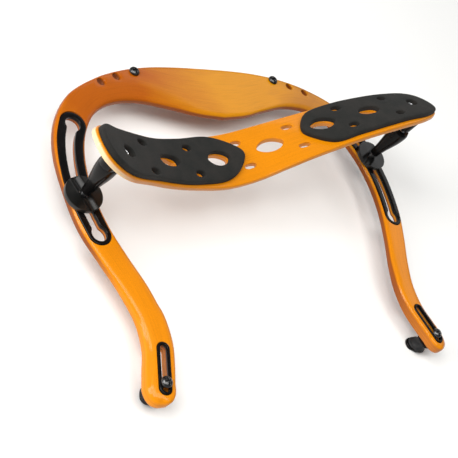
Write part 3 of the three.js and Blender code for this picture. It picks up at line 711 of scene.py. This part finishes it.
def plate_frame(s):
    """Middle of the wood's top, across, and normal, at distances along the plate."""
    first, last = PLATE_STATIONS[0, 0], PLATE_STATIONS[-1, 0]
    inner = np.clip(s, first, last)

    def middle_at(d):
        return np.column_stack([PLATE_START + np.outer(d, plate_along), station(d, 1)])

    ahead, behind = middle_at(np.minimum(inner + 1, last)), middle_at(np.maximum(inner - 1, first))
    tangent = unit(ahead - behind)
    middle = middle_at(inner) + tangent * (s - inner)[:, None]
    twist = np.radians(station(inner, 3))
    across = np.column_stack([np.outer(np.cos(twist), plate_sideways), np.sin(twist)])
    return middle, across, unit(np.cross(tangent, across))


def plate_place(points, lift):
    lift = np.broadcast_to(lift, len(points))
    middle, across, normal = plate_frame(points[:, 0])
    placed = middle + across * points[:, 1:2] + normal * lift[:, None]
    return placed, np.column_stack([points, lift])


def plate_outline():
    s, half, shift = PLATE_STATIONS[:, 0], PLATE_STATIONS[:, 2], PLATE_STATIONS[:, 4]
    near = np.column_stack([s, shift - half])
    far = np.column_stack([s, shift + half])[::-1]
    return resample(spline(np.vstack([near, far]), 24, closed=True), OUTLINE_STEP, closed=True)


def openings(grow, low=-math.inf, high=math.inf):
    """Outlines of the plate's openings between two places along it."""
    loops = []
    for s, width, pointed in BIG_OPENINGS:
        if low < s < high:
            loops.append(oval(s, 0, BIG_OPENING_LENGTH + grow, width + grow, pointed))
    length, width = SMALL_OVAL
    for s in SMALL_OVAL_STATIONS:
        if low < s < high:
            for u in (-SMALL_OVAL_OFFSET, SMALL_OVAL_OFFSET):
                loops.append(oval(s, u, length + grow, width + grow))
    return loops


def make_rest_plate():
    ends = [oval(s, 0, END_SLOT["length"], END_SLOT["width"]) for s in END_SLOT_STATIONS.values()]
    loops = [plate_outline(), *openings(0), *ends]
    tops, unders = (edges(PLATE_ROUND[face], PLATE_ROUND["hole"], loops) for face in ("top", "under"))
    return make_slab("rest_plate_wood", loops, tops, unders, plate_place, PLATE_THICKNESS, SPACING["plate"])


def make_pad(side):
    places = [s for s, _ in PAD_OUTLINES[side]]
    outline = resample(spline(PAD_OUTLINES[side], 16, closed=True), OUTLINE_STEP, closed=True)
    hole = oval(END_SLOT_STATIONS[side], 0, END_SLOT["pad_length"], END_SLOT["pad_width"])
    loops = [outline, *openings(0.15, min(places) + 8, max(places) - 7), hole]
    tops = edges(PAD_ROUND["top"], PAD_ROUND["hole"], loops)
    unders = edges(PAD_ROUND["under"], PAD_ROUND["under"], loops)

    def place(points, lift):
        return plate_place(points, lift + PAD_THICKNESS)

    def swell(reach):
        return PAD_SWELL * (smooth_step(reach / 5) - 0.5)

    thickness = PAD_THICKNESS - 0.08
    return make_slab(f"foam_pad_{side}", loops, tops, unders, place, thickness, SPACING["plate"], swell)


# ---- turned pieces ----


def rounded(profile, radius, steps=5):
    """A profile with its inner corners rounded."""
    points = [np.array(p, float) for p in profile]
    result = [points[0]]
    for a, b, c in zip(points, points[1:], points[2:]):
        u, v = a - b, c - b
        reach = min(radius, 0.45 * np.linalg.norm(u), 0.45 * np.linalg.norm(v))
        start, end = b + u / np.linalg.norm(u) * reach, b + v / np.linalg.norm(v) * reach
        for k in range(steps + 1):
            t = k / steps
            result.append(start * (1 - t) ** 2 + 2 * b * t * (1 - t) + end * t * t)
    result.append(points[-1])
    return result


def make_turned(name, profile, at, segments=72, closed=False):
    """A piece turned about an upright axis from (radius, height) points, bottom to top.
    A closed profile goes round and back to its start, as on a tube."""
    skin = Skin()
    rings = [skin.ring(at, radius * spokes(segments), height) for radius, height in profile]
    following = rings[1:] + rings[:1] if closed else rings[1:]
    for lower, upper in zip(rings, following):
        skin.wall(upper, lower)
    if not closed:
        skin.cap(rings[0], at, profile[0][1], upward=False)
        skin.cap(rings[-1], at, profile[-1][1])
    return skin.build(name)


def threaded(radius, low, high, pitch, depth=0.18):
    """Profile points of a threaded stretch."""
    points = []
    count = int((high - low) / pitch)
    for k in range(count):
        z = low + (high - low) * k / count
        points += [(radius - depth, z), (radius, z + 0.35 * pitch), (radius, z + 0.6 * pitch)]
    return points


def make_stem(side):
    wide, low, high = STEM_FOOT["radius"], STEM_FOOT["bottom"], STEM_FOOT["top"]
    foot = rounded([(0.5, low), (wide, low), (wide, high), (STEM_RADIUS, high), (STEM_RADIUS, 6.0)], 0.3)
    thread = threaded(STEM_RADIUS, 6.2, STEM_TOP - 0.8, THREAD_PITCH)
    tip = [(STEM_RADIUS - 0.15, STEM_TOP - 0.6), (STEM_RADIUS - 0.6, STEM_TOP)]
    return make_turned(f"threaded_stem_{side}", [*foot, *thread, *tip], LEG[side])


def make_disc(side):
    """Thumb disc: a low dome with a shallow groove across it, which leaves two lobes."""
    radius, edge, bottom, bore = DISC["radius"], DISC["edge"], DISC["bottom"], DISC["bore"]
    flat_radii = np.linspace(bore, radius - edge, 22)
    edge_radii = radius - edge * (1 - np.sin(np.linspace(0.3, math.pi / 2, 6)))
    turn = DISC_TURN[side]
    normal = np.array([-math.sin(turn), math.cos(turn)])
    wheel = spokes(160)
    skin = Skin()
    rings = []
    for reach in [*flat_radii, *edge_radii]:
        outward = max(0.0, (reach - (radius - edge)) / edge)
        rim = edge * (1 - math.sqrt(max(0.0, 1 - outward ** 2)))
        dome = DISC["dome"] * (reach / radius) ** 2
        share = np.clip(np.abs(reach * wheel @ normal) / DISC["groove"], 0, 1)
        groove = DISC["depth"] * (1 - smooth_step(share))
        heights = DISC["top"] - np.maximum(rim, dome + groove * (1 - 0.3 * outward))
        rings.append(skin.ring(LEG[side], reach * wheel, heights))
    underside = [
        (radius, bottom + 0.5), (radius - 0.15, bottom + 0.15), (radius - 0.5, bottom),
        (bore + 0.2, bottom), (bore, bottom + 0.2),
    ]
    rings += [skin.ring(LEG[side], reach * wheel, height) for reach, height in underside]
    for inner, outer in zip(rings, rings[1:] + rings[:1]):
        skin.wall(inner, outer)
    return skin.build(f"thumb_disc_{side}")


def make_barrel(side):
    outside = spline(BARREL_PROFILE, 8)
    bore_radius, bore_top = BARREL_BORE
    socket = directions(np.linspace(0.72, -math.pi / 2 + 0.35, 12)) * SOCKET_RADIUS + (0, BALL_HEIGHT)
    bore = [(bore_radius * 0.5, bore_top + 0.4), (bore_radius, bore_top)]
    inner = [*socket, *bore, (bore_radius, BARREL_PROFILE[0][1] + 0.3)]
    return make_turned(f"barrel_shell_{side}", [*outside, *inner], LEG[side], 96, closed=True)


def make_bracket(side):
    """Block under the plate: upright sides, flat bottom, its top shaped to the plate's underside."""
    line = np.array([BRACKET_SCREW_SIDE[side], LEG[side]])
    outline = slot_outline(line, (BRACKET_RADIUS[side],) * 2)

    def underside(points):
        s = (points - PLATE_START) @ plate_along
        u = (points - PLATE_START) @ plate_sideways
        for _ in range(14):
            found, _ = plate_place(np.column_stack([s, u]), -PLATE_THICKNESS - GAP / 3)
            s = s + (points - found[:, :2]) @ plate_along
            u = u + (points - found[:, :2]) @ plate_sideways
        return found[:, 2]

    loops = counterclockwise([outline, circle(LEG[side], BRACKET_BORE)])
    rows = sheet(loops, [0.6, 0.2], SPACING["fine"])
    flat = rows[0]
    skin = Skin()
    top = underside(flat) - edge_drop(flat, loops, [0.5, 0.1])
    bottom = BRACKET_BOTTOM + edge_drop(flat, loops, [0.6, 0.2])
    upper = skin.patch(rows, level(0), top)
    lower = skin.patch(rows, level(0), bottom, upward=False)
    skin.wall(upper[0], lower[0])
    skin.wall(upper[1], lower[1], inward=True)
    return skin.build(f"bracket_{side}")


def make_screw(name, at, seat, head, height, shank, length, recess=0.32):
    """A dome-headed screw with a cross recess in its head, upright."""
    wheel = spokes(96)
    skin = Skin()
    profile = [(shank * 0.3, seat - length), (shank * 0.8, seat - length + 0.3)]
    profile += threaded(shank, seat - length + 0.4, seat - 1.0, 0.5, 0.14)
    profile += [(shank, seat - 0.8), (shank, seat), (head - 0.15, seat), (head, seat + 0.2)]
    rings = [skin.ring(at, radius * wheel, z) for radius, z in profile]
    for share in np.linspace(0.99, 0.06, 26):
        radius = head * share
        dome = 0.2 + (height - 0.2) * math.sqrt(1 - share ** 2)
        arms = np.abs(radius * wheel).min(axis=1)
        beside = smooth_step((arms - recess * 0.5) / 0.22)
        beyond = smooth_step((radius / head - 0.5) / 0.16)
        cut = RECESS_DEPTH * (1 - beside) * (1 - beyond)
        rings.append(skin.ring(at, radius * wheel, seat + dome - cut))
    for lower, upper in zip(rings, rings[1:]):
        skin.wall(upper, lower)
    skin.cap(rings[0], at, seat - length, upward=False)
    skin.cap(rings[-1], at, seat + height - RECESS_DEPTH)
    return skin.build(name)


def make_plate_screw(side):
    """Screw through the end hole of the plate, square to the wood."""
    piece = make_screw(f"plate_screw_head_{side}", (0, 0), GAP, **PLATE_SCREW, recess=0.4)
    middle, across, normal = (row[0] for row in plate_frame(np.array([END_SLOT_STATIONS[side]])))
    along = np.cross(across, normal)
    turn = Matrix((along, across, normal)).transposed().to_4x4()
    place = Matrix.Translation(Vector(to_frame(middle))) @ turn @ Matrix.Translation(-Vector(ORIGIN))
    piece.data.transform(place)
    return piece


# ---- claws ----


def toe_outline(at, direction, trim=0.0):
    half, reach = CLAW["toe_half"], CLAW["toe_reach"] - trim
    tip = np.array(at) + np.array(direction) * (reach - half)
    return slot_outline(np.array([at, tip]), (half, half), step=0.35)


def joined(name, first, second):
    """Boolean union of two closed pieces, as one object."""
    union = first.modifiers.new("union", "BOOLEAN")
    union.operation = "UNION"
    union.solver = "EXACT"
    union.object = second
    graph = bpy.context.evaluated_depsgraph_get()
    mesh = bpy.data.meshes.new_from_object(first.evaluated_get(graph))
    mesh.name = name
    mesh.set_sharp_from_angle(angle=SHARP_ANGLE)
    piece = add_object(name, mesh)
    for used in (first, second):
        bpy.data.objects.remove(used)
    return piece


def make_claw_post(kind, side, at, direction):
    radius, top, bottom = CLAW["post"], CLAWS[kind]["top"], CLAW_BOTTOM + 0.6
    place = level(CLAW_BOTTOM + CLAW["flange"])
    loops = [toe_outline(at, direction)]
    toe = make_slab("toe", loops, [0.4], [0.25], place, CLAW["flange"], SPACING["small"])
    bore = CLAW_SCREW["shank"] + GAP
    floor = CLAW_BOTTOM + CLAW["bore_start"]
    outside = rounded([(0.4, bottom), (radius, bottom), (radius, top), (bore, top)], 0.3)
    profile = [*outside, (bore, floor), (0.3, floor)]
    post = make_turned("post", profile, at, 64)
    return joined(f"claw_post_{kind}_{side}", post, toe)


def make_claw_rubber(kind, side, at, direction):
    spec = CLAW_RUBBER
    low, high = CLAW_BOTTOM + CLAW["flange"] + GAP, CLAWS[kind]["top"] - GAP
    bore = CLAW["post"] + GAP
    radius, waist, lip, slope = spec["radius"], spec["waist"], spec["lip"], spec["slope"]
    outside = [
        (bore, low), (radius - lip, low), (radius, low + lip), (waist, low + lip + slope),
        (waist, high - lip - slope), (radius - lip / 2, high - lip), (radius - lip, high), (bore, high),
    ]
    spool = make_turned("spool", rounded(outside, 0.8), at, 80, closed=True)
    loops = [toe_outline(at, direction, lip), circle(at, bore + 0.2)]
    sole = spec["sole"]
    place, thickness = level(low + sole), sole - 0.02
    tongue = make_slab("tongue", loops, [0.4, 0.1], [0.2, 0.1], place, thickness, SPACING["fine"])
    return joined(f"claw_rubber_{kind}_{side}", spool, tongue)


# ---- materials ----


class Paint:
    """A node material built up link by link around one shader."""

    def __init__(self, name):
        self.material = bpy.data.materials.new(name)
        self.material.use_nodes = True
        self.nodes = self.material.node_tree.nodes
        self.links = self.material.node_tree.links
        self.shader = self.nodes["Principled BSDF"]

    def set(self, **values):
        names = {
            "metallic": "Metallic", "specular": "Specular IOR Level", "coat": "Coat Weight",
            "coat_roughness": "Coat Roughness", "sheen": "Sheen Weight",
            "sheen_roughness": "Sheen Roughness",
        }
        for name, value in values.items():
            self.shader.inputs[names[name]].default_value = value
        return self

    def node(self, kind, *values, **named):
        """A new node, its inputs linked or set in their order or by their names."""
        made = self.nodes.new(kind)
        titled = {name.title(): value for name, value in named.items()}
        for key, value in [*enumerate(values), *titled.items()]:
            if hasattr(value, "is_output"):
                self.links.new(value, made.inputs[key])
            else:
                made.inputs[key].default_value = value
        return made

    def grain(self):
        """Grain coordinates, in millimetres: along, across and through the piece."""
        made = self.nodes.new("ShaderNodeAttribute")
        made.attribute_name = "grain"
        return made.outputs["Vector"]

    def place(self):
        """Place on the part, in millimetres."""
        made = self.nodes.new("ShaderNodeTexCoord")
        return self.stretched(made.outputs["Object"], (1 / MM,) * 3)

    def stretched(self, vector, scale):
        return self.node("ShaderNodeMapping", vector=vector, scale=scale).outputs["Vector"]

    def noise(self, vector, scale, detail=4.0, roughness=0.55, distortion=0.0):
        sizes = {"scale": scale, "detail": detail, "roughness": roughness, "distortion": distortion}
        return self.node("ShaderNodeTexNoise", vector=vector, **sizes).outputs["Fac"]

    def ramp(self, factor, *stops):
        """Colours or grey values over a factor: (place, value) pairs."""
        made = self.nodes.new("ShaderNodeValToRGB")
        self.links.new(factor, made.inputs["Fac"])
        elements = made.color_ramp.elements
        while len(elements) < len(stops):
            elements.new(0.5)
        for element, (place, value) in zip(elements, stops):
            element.position = place
            colour = value if isinstance(value, tuple) else (value, value, value)
            element.color = (*colour, 1)
        return made.outputs["Color"]

    def ranged(self, value, start, end):
        """0 where the value is at start or before it, 1 at end or past it, even in between."""
        return self.node("ShaderNodeMapRange", value, start, end).outputs["Result"]

    def scaled(self, value, factor, offset):
        made = self.node("ShaderNodeMath", value, factor, offset)
        made.operation = "MULTIPLY_ADD"
        return made.outputs["Value"]

    def mixed(self, factor, a, b, blend="MIX"):
        made = self.nodes.new("ShaderNodeMix")
        made.data_type = "RGBA"
        made.blend_type = blend
        for value, socket in ((factor, made.inputs[0]), (a, made.inputs[6]), (b, made.inputs[7])):
            if hasattr(value, "is_output"):
                self.links.new(value, socket)
            else:
                socket.default_value = (*value, 1) if isinstance(value, tuple) else value
        return made.outputs[2]

    def colour(self, output):
        self.links.new(output, self.shader.inputs["Base Color"])

    def rough(self, output):
        self.links.new(output, self.shader.inputs["Roughness"])

    def bump(self, output, strength, distance):
        made = self.node("ShaderNodeBump", height=output, strength=strength, distance=distance)
        self.links.new(made.outputs["Normal"], self.shader.inputs["Normal"])
        return self


def along_ramp(paint, along, shades):
    """Colours that change with the distance along the grain."""
    first, last = shades[0][0], shades[-1][0]
    place = paint.ranged(along, first, last)
    return paint.ramp(place, *[((s - first) / (last - first), colour) for s, colour in shades])


def maple(name, shades, side_colours_painted_light):
    """Varnished maple bent along the grain: fine streaks, soft clouds, and laminated sides.
    The side colours paint shade on the cradle's walls and a highlight on the plate's raised end.
    Both lists of shades hold (distance along the grain in mm, colour) pairs."""
    paint = Paint(name).set(specular=0.08, coat=0.3, coat_roughness=0.12)
    grain = paint.grain()
    along, _, depth = paint.node("ShaderNodeSeparateXYZ", grain).outputs
    clouds = paint.noise(paint.stretched(grain, (0.03, 0.08, 0.08)), 1.0, 3.0)
    drift = paint.node("ShaderNodeMath", along, paint.scaled(clouds, 46.0, -23.0))
    base = along_ramp(paint, drift.outputs["Value"], shades)
    streaks = paint.noise(paint.stretched(grain, (0.06, 2.6, 2.6)), 1.0, 4.0, 0.55, 0.2)
    flecks = paint.noise(paint.stretched(grain, (1.6, 4.6, 4.6)), 1.0, 3.0, 0.6)
    lines = paint.ramp(streaks, (0.3, 0.74), (0.5, 1.0), (0.75, 1.12))
    colour = paint.mixed(0.55, base, lines, "MULTIPLY")
    specks = paint.ramp(flecks, (0.3, 0.66), (0.5, 1.0), (0.72, 1.2))
    colour = paint.mixed(0.6, colour, specks, "MULTIPLY")
    plies = paint.noise(paint.stretched(grain, (0.02, 0.02, 1.6)), 1.0, 1.0)
    # The walls take the side colours, which paint shade on the cradle and a highlight on the plate, with the
    # plies of the laminate over them.
    side = paint.ranged(depth, -0.55, -1.25)
    layers = paint.ramp(plies, (0.35, 0.75), (0.6, 1.1))
    side_plies_and_painted_light = paint.mixed(0.5, along_ramp(paint, along, side_colours_painted_light), layers, "MULTIPLY")
    paint.colour(paint.mixed(side, colour, side_plies_and_painted_light))
    paint.rough(paint.ramp(streaks, (0.3, 0.5), (0.7, 0.38)))
    return paint.bump(streaks, 0.10, 0.0001).material


def plastic(name, colour, light, roughness, specular=0.11, texture=0.0):
    """Moulded black plastic, glossy or finely textured."""
    paint = Paint(name).set(specular=specular, coat=0.05, coat_roughness=0.06)
    place = paint.place()
    smears = paint.noise(place, 0.22, 3.0)
    fine = paint.noise(place, 6.0, 3.0)
    paint.colour(paint.ramp(smears, (0.35, colour), (0.7, light)))
    paint.rough(paint.ramp(smears, (0.3, roughness), (0.7, min(1.0, roughness * 1.35))))
    return paint.bump(fine, 0.05 + texture, 0.0001).material


def foam(name):
    """Dense charcoal foam rubber: fine open cells and faint clouds."""
    paint = Paint(name).set(specular=0.14, sheen=0.03, sheen_roughness=0.6)
    place = paint.grain()
    clouds = paint.noise(place, 0.12, 4.0, 0.6)
    cells = paint.node("ShaderNodeTexVoronoi", vector=place, scale=2.6).outputs["Distance"]
    pores = paint.noise(place, 3.4, 4.0, 0.7)
    base = paint.ramp(clouds, (0.3, (0.012, 0.013, 0.012)), (0.7, (0.022, 0.020, 0.018)))
    paint.colour(paint.mixed(0.6, base, paint.ramp(pores, (0.35, 0.65), (0.65, 1.25)), "MULTIPLY"))
    paint.rough(paint.ramp(pores, (0.3, 0.95), (0.7, 0.78)))
    walls = paint.ramp(cells, (0.0, 0.0), (0.5, 1.0))
    height = paint.mixed(0.5, walls, paint.ramp(pores, (0.3, 0.0), (0.7, 1.0)))
    return paint.bump(height, 0.28, 0.00018).material


def rubber(name):
    paint = Paint(name).set(specular=0.3)
    place = paint.place()
    fine = paint.noise(place, 3.0, 5.0, 0.65)
    dust = paint.noise(place, 0.5, 3.0)
    paint.colour(paint.ramp(dust, (0.4, (0.012, 0.012, 0.013)), (0.75, (0.028, 0.028, 0.028))))
    paint.rough(paint.ramp(fine, (0.3, 0.6), (0.7, 0.8)))
    return paint.bump(fine, 0.15, 0.00015).material


def steel(name, dark, light, roughness):
    """Turned metal: fine rings round the axis and faint stains."""
    paint = Paint(name).set(metallic=1.0)
    place = paint.place()
    stains = paint.noise(place, 0.9, 3.0)
    rings = paint.noise(paint.stretched(place, (0.6, 0.6, 9.0)), 1.0, 3.0)
    paint.colour(paint.ramp(stains, (0.35, dark), (0.7, light)))
    paint.rough(paint.ramp(rings, (0.3, roughness), (0.7, roughness * 1.4)))
    return paint.bump(rings, 0.08, 0.00005).material


# ---- assembly ----


def paint_with(piece, slot):
    piece.data.materials.clear()
    piece.data.materials.append(LOOKS[slot])


def dress(piece, slot, body, node):
    """Gives a piece its material, and lets it stand for its CAD node and move with its body."""
    paint_with(piece, slot)
    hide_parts(node)
    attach(piece, body)
    return piece


make_camera()
make_studio()

# Colours, and where they lie along each piece. The side colours hold painted shade and a painted highlight.
ARM = (0.65, 0.21, 0.001)
DEEP = (0.37, 0.082, 0.001)
HONEY = (0.59, 0.235, 0.002)
# The russet and umber below are painted shade, for the cradle's side walls that face away from the light.
TAN = (0.42, 0.16, 0.012)
PAINTED_SHADE_RUSSET = (0.5, 0.15, 0.01)
PAINTED_SHADE_UMBER = (0.25, 0.058, 0.004)
# The cream below is a painted highlight, for the plate's raised end wall that faces the light.
PAINTED_HIGHLIGHT_CREAM = (0.86, 0.62, 0.36)
AMBER = (0.60, 0.23, 0.035)
# Over the cradle's top the colour is darker over the left part of the chin bar, and in a patch near its
# right end holes.
CRADLE_SHADES = [
    (-215, ARM), (-130, ARM), (-85, DEEP), (-42, DEEP), (4, HONEY), (38, HONEY), (62, TAN), (95, HONEY),
    (140, ARM), (215, ARM),
]
PLATE_SHADES = [(-20, (0.62, 0.20, 0.001)), (90, (0.61, 0.20, 0.001)), (200, (0.65, 0.22, 0.001))]
# Side walls of the cradle: painted shade, dark umber along the bars and russet at the right arm tip, where
# the walls face away from the light; at the left arm tip the walls keep the top's colour.
CRADLE_SIDES_PAINTED_SHADE = [(-215, ARM), (-172, ARM), (-150, PAINTED_SHADE_UMBER), (185, PAINTED_SHADE_UMBER), (215, PAINTED_SHADE_RUSSET)]
# Sides of the plate: a painted highlight in cream on its raised left end, amber elsewhere.
PLATE_SIDES_PAINTED_HIGHLIGHT = [(-17, PAINTED_HIGHLIGHT_CREAM), (-9, PAINTED_HIGHLIGHT_CREAM), (2, AMBER), (200, AMBER)]

# Materials, by the slot that the record names.
LOOKS = {
    "cradle_maple": maple("cradle_maple", CRADLE_SHADES, CRADLE_SIDES_PAINTED_SHADE),
    "plate_maple": maple("plate_maple", PLATE_SHADES, PLATE_SIDES_PAINTED_HIGHLIGHT),
    "black_plastic": plastic("gloss_black_plastic", (0.003, 0.003, 0.003), (0.006, 0.005, 0.005), 0.14),
    "disc_plastic": plastic("matte_black_plastic", (0.004, 0.004, 0.004), (0.008, 0.008, 0.007), 0.3,
                            specular=0.3, texture=0.1),
    "pad_foam": foam("charcoal_foam"),
    "black_rubber": rubber("black_rubber"),
    "blackened_steel": steel("blackened_steel", (0.05, 0.05, 0.052), (0.12, 0.12, 0.12), 0.25),
    "bright_steel": steel("bright_steel", (0.45, 0.45, 0.46), (0.68, 0.68, 0.70), 0.25),
}

dress(make_cradle(), "cradle_maple", "frame", "cradle")
dress(make_rest_plate(), "plate_maple", "plate", "rest_plate")

for side in SIDES:
    liner = make_liner(f"long_liner_{side}", liner_loop(side, 0), slot_loop(side, 0))
    dress(liner, "black_plastic", "frame", f"slot_liner_{side}")
    claw_rim, claw_opening = claw_slot_loop(side, CLAW_LINER_HALF), claw_slot_loop(side, CLAW_SLOT_HALF)
    liner = make_liner(f"short_liner_{side}", claw_rim, claw_opening)
    dress(liner, "black_plastic", "frame", f"claw_slot_liner_{side}")

    pad = dress(make_pad(side), "pad_foam", "plate", f"pad_{side}")

    dress(make_stem(side), "blackened_steel", f"foot_{side}", f"leg_stem_{side}")
    dress(make_disc(side), "disc_plastic", f"disc_{side}", f"clamp_disc_{side}")
    dress(make_barrel(side), "black_plastic", f"barrel_{side}", f"leg_barrel_{side}")
    dress(make_bracket(side), "black_plastic", "plate", f"plate_bracket_{side}")
    dress(make_plate_screw(side), "bright_steel", "plate", f"plate_screw_{side}")
    paint_with(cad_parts[f"ball_stud_{side}"], "bright_steel")

    for kind, claw in CLAWS.items():
        at, toe = (tuple(mirrored([claw[place]], side)[0]) for place in ("at", "toe"))
        name = f"{kind}_{side}"
        dress(make_claw_post(kind, side, at, toe), "black_plastic", name, f"{kind}_post_{side}")
        dress(make_claw_rubber(kind, side, at, toe), "black_rubber", name, f"{kind}_rubber_{side}")
        screw = make_screw(f"screw_{name}", at, claw["seat"], **CLAW_SCREW)
        dress(screw, "blackened_steel", name, f"{kind}_screw_{side}")
